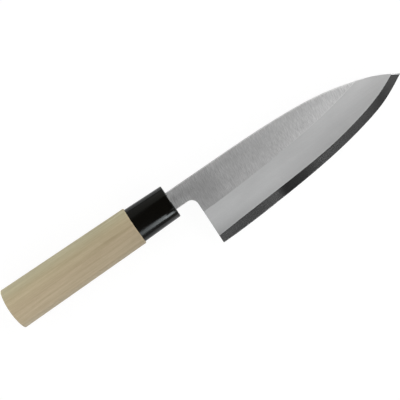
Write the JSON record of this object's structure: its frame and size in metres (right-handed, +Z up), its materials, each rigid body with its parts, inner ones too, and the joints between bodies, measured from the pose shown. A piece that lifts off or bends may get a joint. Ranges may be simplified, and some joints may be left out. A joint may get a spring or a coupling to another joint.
{
  "type": "deba knife",
  "caption": "Heavy single-bevel kitchen knife with a laminated blade, a hollow-ground back, a black moulded ferrule and an oval pale wood handle on a hidden tang.",
  "frame": {"origin": "middle of the box round the whole knife, on the surface that the handle lies on", "axes": "+X along the knife to the tip, +Y to the spine, +Z up out of the ground face of the blade"},
  "size_m": [0.3102, 0.059, 0.024],
  "materials": {
    "soft_iron": "finely brushed across the flat, satin on the bevel",
    "hard_steel": "dark satin, laid bare by the bevel",
    "resin": "dull, dark",
    "black_moulding": "polished black",
    "pale_wood": "bare wood, sanded fine, grain along the handle"
  },
  "bodies": {
    "root": {"blade_cladding": "soft_iron", "edge_steel": "hard_steel", "tang_bedding": "resin", "ferrule": "black_moulding", "handle": "pale_wood"}
  },
  "joints": []
}
